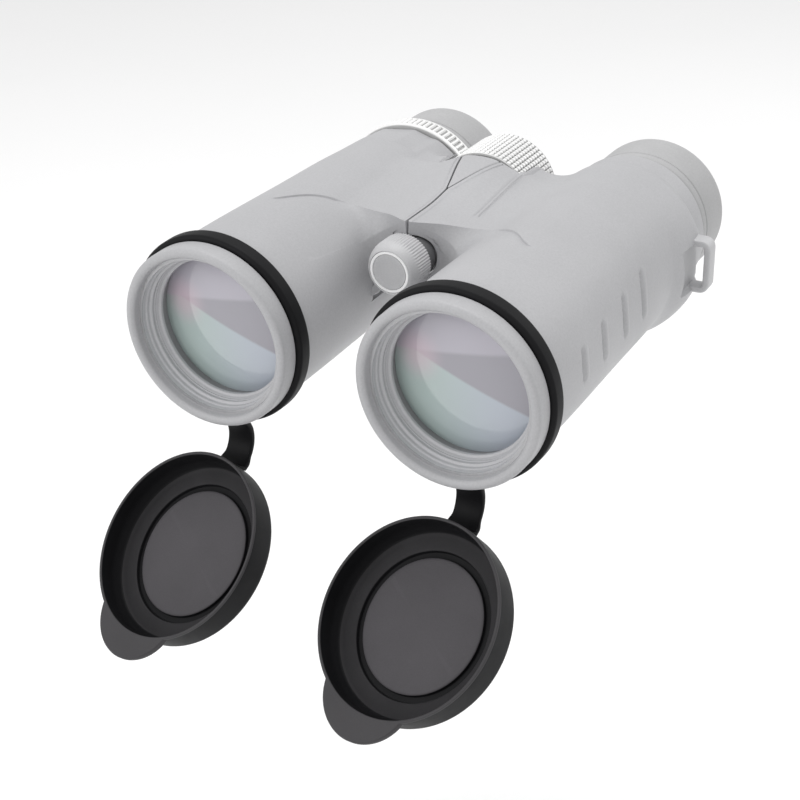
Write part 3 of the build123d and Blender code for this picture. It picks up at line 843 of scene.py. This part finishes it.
def cap(side):
    """Soft cap: wall, sloping ledge, groove and a matt disc, with a thumb tab on its edge; its lip
    is painted paler as a highlight.
    """
    x, z = axis_of(side)
    body = f"{side}_cap"
    shell = rounded([(0.0, -5.5, 0), (17.0, -5.5, 0.2), (17.4, -5.2, 0.2), (18.0, -5.2, 0.2),
                     (18.4, -5.5, 0.2), (25.9, -5.5, 1.3), (26.9, -4.2, 1.2), (27.35, 3.2, 0.3),
                     (27.35, 4.05, 0.3), (26.9, 4.2, 0.25), (26.5, 4.05, 0.25), (26.3, -0.4, 1.0),
                     (25.2, -2.9, 0.6), (24.3, -3.35, 0.5), (20.7, -3.75, 0.3), (20.3, -3.95, 0.2),
                     (20.1, -5.0, 0.15), (18.5, -5.0, 0.15), (18.3, -4.3, 0.1), (0.0, -4.3, 0)],
                    closed=False)
    cup = lathe(f"{side}_cap_shell", shell, (x, z), 256)
    for material in (BLACK, LEDGE, TAB_RUBBER_AND_LIP_HIGHLIGHT):
        cup.data.materials.append(material)
    for face in cup.data.polygons:
        off = face.center / MM - Vector((x, FRONT, z))
        if 20.2 < math.hypot(off.x, off.z) < 24.9 and -4.0 < off.y < -2.8:
            face.material_index = 1
        elif off.y > 3.6:
            # lip faces: the paler rubber paints a highlight along the rim
            face.material_index = 2
    hang(cup, side)
    place(cup, body, BLACK, [f"{side}_objective_cap"])
    disc = rounded([(0.0, -4.25, 0), (18.25, -4.25, 0.1), (18.35, -3.95, 0.2), (17.9, -3.72, 0.25),
                    (17.0, -3.66, 0.2), (0.0, -3.6, 0)], closed=False)
    panel = lathe(f"{side}_cap_disc", disc, (x, z), 192)
    hang(panel, side)
    place(panel, body, CHARCOAL, ())
    tab = slab(f"{side}_cap_tab", tab_outline(34.3, 14.2, 26.75), (x, z), 2.3, 4.12, 0.5)
    lean = Matrix.Rotation(TAB_LEAN, 4, "Y")
    centre = Matrix.Translation(Vector((x, 0, z)) * MM)
    tab.data.transform(centre @ lean @ centre.inverted())
    hang(tab, side)
    place(tab, body, TAB_RUBBER_AND_LIP_HIGHLIGHT, ())


def tether(side):
    """Rubber strap from the ring's underside, bowed back, to the cap's wall."""
    low, high = mm_box(f"{side}_cap_tether")
    centre_x = (low.x + high.x) / 2
    bend_at, bend_z, bend_r = 5.4, AXIS_Z - 35.3, 7.9
    start, end = math.radians(88), math.radians(-76)
    half_width, half = 4.15, 0.85
    section = rounded([(-half_width, -half, 0.7), (half_width, -half, 0.7), (half_width, half, 0.7),
                       (-half_width, half, 0.7)])
    loops = []
    for t in np.linspace(start, end, 40):
        flare = 1.0 + 0.16 * smooth_step(abs(t - (start + end) / 2), 0.85, 1.25)
        loops.append([(centre_x + u * flare,
                       FRONT + bend_at + (bend_r + v) * math.cos(t),
                       bend_z + (bend_r + v) * math.sin(t)) for u, v in section])
    strap = closed_tube(f"{side}_strap", loops)
    strap.data.materials.append(BLACK)
    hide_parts(f"{side}_cap_tether")
    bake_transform(strap)


# ------------------------ knob, wheel and rings
def from_tooth(angle, teeth):
    """Distance from the middle of the nearest tooth, in pitches."""
    return np.abs(((angle * teeth / (2 * math.pi)) % 1) - 0.5)


def knob():
    """Screw-off cover of the tripod socket: domed flange, fine serrations and a white ring."""
    front, back, r = round_extent("tripod_cover")
    teeth = 60

    def serrate(radius, station, angle):
        """Fine ribs along the flank, behind the flange."""
        depth = 0.26 * smooth_step(station, front + 2.6, front + 3.6) * (radius > r - 1)
        return radius - depth * (0.5 + 0.5 * np.cos(teeth * angle)) ** 1.5

    flank = [(6.95, front + 0.8), (7.3, front + 1.5), (7.6, front + 2.3), (7.8, front + 3.0),
             (7.95, front + 3.6)]
    flank += [(r, front + 4.0 + n * 0.6) for n in range(9)]
    outline = [(0.0, front + 0.15), (3.0, front + 0.13), (5.0, front + 0.08), (5.16, front + 0.3),
               (5.2, front + 0.5), (6.0, front + 0.5), (6.04, front + 0.25), (6.2, front + 0.02),
               (6.5, front + 0.2)] + flank
    outline += [(r - 0.1, back - 0.2), (r - 0.5, back), (5.75, back), (5.72, front + 2.2),
                (0.0, front + 2.2)]
    piece = lathe("knob", outline, (0, 0), teeth * 8, 40.0, serrate)
    place(piece, "tripod_cover", GREY, ["tripod_cover"])
    ring = rounded([(5.22, front + 0.1, 0.15), (5.98, front + 0.1, 0.15), (5.98, front + 0.49, 0.05),
                    (5.22, front + 0.49, 0.05)])
    inlay = lathe("knob_ring", ring, (0, 0), 128)
    place(inlay, "tripod_cover", WHITE, ["cover_inlay"])


def wheel():
    """Focus wheel: a grid of small square studs between two plain bands."""
    start, end, r = round_extent("focus_wheel")
    teeth, bands = 64, 11
    first, last = start + 0.5, end - 0.6
    pitch = (last - first) / bands
    depth = 0.45

    def studs(radius, station, angle):
        """Lengthwise grooves between the studs."""
        if radius < r - 0.7 or not first <= station <= last:
            return radius + 0 * angle
        return radius - depth * smooth_step(from_tooth(angle, teeth), 0.30, 0.46)

    profile = [(13.4, start + 0.05), (14.6, start), (15.1, start + 0.1), (r - 0.1, start + 0.35)]
    for n in range(bands):
        at = first + n * pitch
        profile += [(r - depth, at + 0.02), (r - depth, at + 0.16), (r - 0.03, at + 0.42),
                    (r, at + 0.6), (r, at + pitch - 0.42), (r - 0.03, at + pitch - 0.26),
                    (r - depth, at + pitch - 0.02)]
    profile += [(r - 0.1, end - 0.45), (15.2, end - 0.2), (14.6, end), (13.45, end - 0.05)]
    profile += [(13.4, end - 1.0), (13.4, 104.0), (7.0, 104.0), (7.0, 104.8), (4.56, 104.8),
                (4.56, 95.0), (7.0, 95.0), (7.0, 100.0), (13.4, 100.0)]
    piece = lathe("focus_wheel_grip", profile, (0, 0), teeth * 8, 40.0, studs)
    place(piece, "focus_wheel", SILVER["wheel"], ["focus_wheel"])


def diopter():
    """Diopter ring: rectangular teeth between two smooth rims."""
    start, end, r = round_extent("diopter_ring")
    teeth = 84

    def tooth(radius, station, angle):
        """Gaps between the teeth, clear of both rims."""
        if not start + 1.5 < station < end - 1.0 or radius < r - 0.8:
            return radius + 0 * angle
        return radius - 0.75 * smooth_step(from_tooth(angle, teeth), 0.22, 0.30)

    profile = [(19.15, start + 0.1), (23.6, start + 0.05), (r - 0.5, start + 0.1),
               (r - 0.25, start + 0.35), (r - 0.2, start + 1.4), (r - 0.2, start + 1.55),
               (r, start + 1.75)]
    profile += [(r, s) for s in np.linspace(start + 2.1, end - 1.5, 5)]
    profile += [(r - 0.02, end - 1.25), (r - 0.3, end - 0.95), (r - 0.35, end - 0.35),
                (r - 0.7, end), (19.15, end)]
    piece = lathe("diopter_grip", profile, axis_of("right"), teeth * 8, 40.0, tooth)
    place(piece, "diopter_ring", SILVER["diopter"], ["diopter_ring"])


def eyecup(side):
    """Twist-up eyecup: rubber cup with a rolled rim."""
    outline = rounded([(20.85, 123.2, 0.1), (21.3, 123.15, 0.3), (21.6, 123.9, 0.4),
                       (21.6, 126.2, 0.15), (21.35, 126.4, 0.1), (21.35, 126.9, 0.1),
                       (21.6, 127.1, 0.15), (21.6, 140.2, 0.9), (20.9, 141.9, 1.0),
                       (19.2, 142.3, 0.8), (16.0, 142.25, 0.9), (14.6, 141.5, 0.7),
                       (14.4, 140.3, 0.5), (15.2, 139.65, 0.4), (20.85, 139.65, 0.1)])
    piece = lathe(f"{side}_eyecup_cup", outline, axis_of(side), 192)
    place(piece, f"{side}_eyecup", EYECUP, [f"{side}_eyecup_rubber"])


def hinge_panel():
    """Fixed triangular panel between the wings, arched up to the focus wheel, on its collar."""
    tip, half = WEDGE
    gap = 0.1
    rows = []
    for s in np.linspace(tip + 0.9, WING_REAR - 0.3, 24):
        width = (s - tip) * half / (WING_REAR - tip) - gap
        row = []
        for u in np.linspace(-1, 1, 25):
            edge = max(0.0, abs(u) - 0.9) / 0.1
            crown = wing_top(HINGE[0] + abs(u) * width, s) + AXIS_Z
            row.append((u * width, FRONT + s, float(crown) - 0.3 * edge ** 2))
        for u in (1, 0, -1):
            row.append((u * width, FRONT + s, 8.9))
        rows.append(row)
    panel = closed_tube("hinge_panel", rows)
    place(panel, "frame", ARMOUR, ["hinge_cover"])
    collar_outline = rounded([(4.02, 74.25, 0.1), (6.9, 74.25, 0.3), (6.9, 76.35, 0.3),
                              (4.02, 76.35, 0.1)])
    collar = lathe("hinge_collar", collar_outline)
    place(collar, "frame", GREY, ())
    post_outline = [(-0.8, 5.5), (0.8, 5.5), (0.8, 9.2), (-0.8, 9.2)]
    post = slab("hinge_post", post_outline, (0, 0), 74.9, 76.4, 0.1)
    place(post, "frame", GREY, ())


LUG_STATION = 107.7


def strap_lug(side):
    """Loop for the neck strap, round-edged, standing in the barrel's recess."""
    sign = SIDES[side]
    corners = [(21.8, 5.25, 0), (29.2, 5.25, 2.2), (29.2, -9.25, 2.2), (21.8, -9.25, 0)]
    path = spread(rounded(corners, 8, False), 60)
    section = rounded([(-0.95, -2.5, 0.6), (0.95, -2.5, 0.6), (0.95, 2.5, 0.6), (-0.95, 2.5, 0.6)])
    way = np.gradient(path, axis=0)
    way /= np.linalg.norm(way, axis=1)[:, None]
    across = np.stack((-way[:, 1], way[:, 0]), axis=1)
    loops = []
    for point, out in zip(path, across):
        spots = [(*(point + out * u), v) for u, v in section]
        loops.append([(sign * (AXIS_X + x), FRONT + LUG_STATION + v, AXIS_Z + z)
                      for x, z, v in spots])
    lug = closed_tube(f"{side}_lug", loops)
    place(lug, f"{side}_barrel", GREY, [f"{side}_strap_lug"])


# ------------------------ carried-over CAD nodes
NODE_MATERIALS = {
    "barrel_housing": ALLOY, "objective_cell": INNER, "focus_cell": ANODISED, "guide_rod": STEEL,
    "prism_holder": ANODISED, "half_prism": GLASS, "roof_prism": GLASS, "focus_lens": GLASS,
    "eyepiece_tube": ANODISED, "field_lens": GLASS, "eye_lens": GLASS, "eyecup_sleeve": ANODISED,
    "eyecup_core": GREY}
CENTRE_MATERIALS = {
    "hinge_axle": HINGE_METAL, "hinge_washers": GREY, "hinge_nut": STEEL, "cover_seal": BLACK,
    "focus_screw": BRASS, "focus_carriage": BRASS, "axle_screw": STEEL, "wheel_cap": GREY}


def dress(node, material):
    """Put a finished material on a CAD node."""
    data = frame["nodes"][node].data
    data.materials.clear()
    data.materials.append(material)


for side in SIDES:
    armour(side)
    objective_end(side)
    cap(side)
    tether(side)
    eyecup(side)
    strap_lug(side)
    for part, material in NODE_MATERIALS.items():
        dress(f"{side}_{part}", material)
for part, material in CENTRE_MATERIALS.items():
    dress(part, material)
knob()
wheel()
diopter()
hinge_panel()


# ------------------------ floor, light and camera
FLOOR_DROP = 0.16  # metres, as are the lights' and the camera's places
FLOOR_REACH = 6.0
CAMERA_AT = (0.19851, -0.33179, 0.17251)
CAMERA_TURN = (30.79, 28.84, -2.21)  # azimuth, elevation and roll
WORLD_STRENGTH = 0.74


def floor():
    """Wide pale floor below the object."""
    level = cad_box[0][2] - FLOOR_DROP
    corners = [(x * FLOOR_REACH, y * FLOOR_REACH, level)
               for x, y in ((-1, -1), (1, -1), (1, 1), (-1, 1))]
    data = bpy.data.meshes.new("floor")
    data.from_pydata(corners, [], [(0, 1, 2, 3)])
    plane = bpy.data.objects.new("floor", data)
    bpy.context.scene.collection.objects.link(plane)
    paper = finish_material("floor_paper", (0.97, 0.97, 0.97), 0.8, vary=0.01, grain=900.0,
                            grain_depth=0.02, patch=2.0)
    data.materials.append(paper)


def area_light(name, at, aim, width, power):
    """Soft square light pointed at a place."""
    data = bpy.data.lights.new(name, "AREA")
    data.shape = "SQUARE"
    data.size = width
    data.energy = power
    lamp = bpy.data.objects.new(name, data)
    lamp.location = at
    lamp.rotation_euler = (Vector(aim) - Vector(at)).to_track_quat("-Z", "Y").to_euler()
    bpy.context.scene.collection.objects.link(lamp)


def camera():
    """Camera in front, to one side and above, rolled a little."""
    azimuth, elevation, roll = (math.radians(d) for d in CAMERA_TURN)
    across = Vector((math.cos(azimuth), math.sin(azimuth), 0))
    back = Vector((math.sin(azimuth) * math.cos(elevation),
                   -math.cos(azimuth) * math.cos(elevation),
                   math.sin(elevation)))
    up = back.cross(across)
    tilted = across * math.cos(roll) + up * math.sin(roll)
    turn = Matrix((tilted, back.cross(tilted), back)).transposed()
    data = bpy.data.cameras.new("camera")
    data.lens = 69.9
    data.sensor_width = 36.0
    data.clip_end = 50.0
    made = bpy.data.objects.new("camera", data)
    made.matrix_world = Matrix.Translation(Vector(CAMERA_AT)) @ turn.to_4x4()
    bpy.context.scene.collection.objects.link(made)
    bpy.context.scene.camera = made


floor()
camera()
area_light("key", (-0.10, 0.20, 1.1), (0, 0, -0.02), 0.9, 6.0)
area_light("front_fill", (-0.6, -0.9, 0.45), (0, 0, -0.03), 0.8, 4.0)
area_light("rim", (0.5, 0.9, 0.6), (0, 0, 0), 0.7, 1.6)
world = bpy.data.worlds.new("studio")
world.use_nodes = True
background = world.node_tree.nodes["Background"]
background.inputs["Color"].default_value = (1.0, 1.0, 1.0, 1)
background.inputs["Strength"].default_value = WORLD_STRENGTH
bpy.context.scene.world = world
bpy.context.scene.view_settings.view_transform = "Standard"
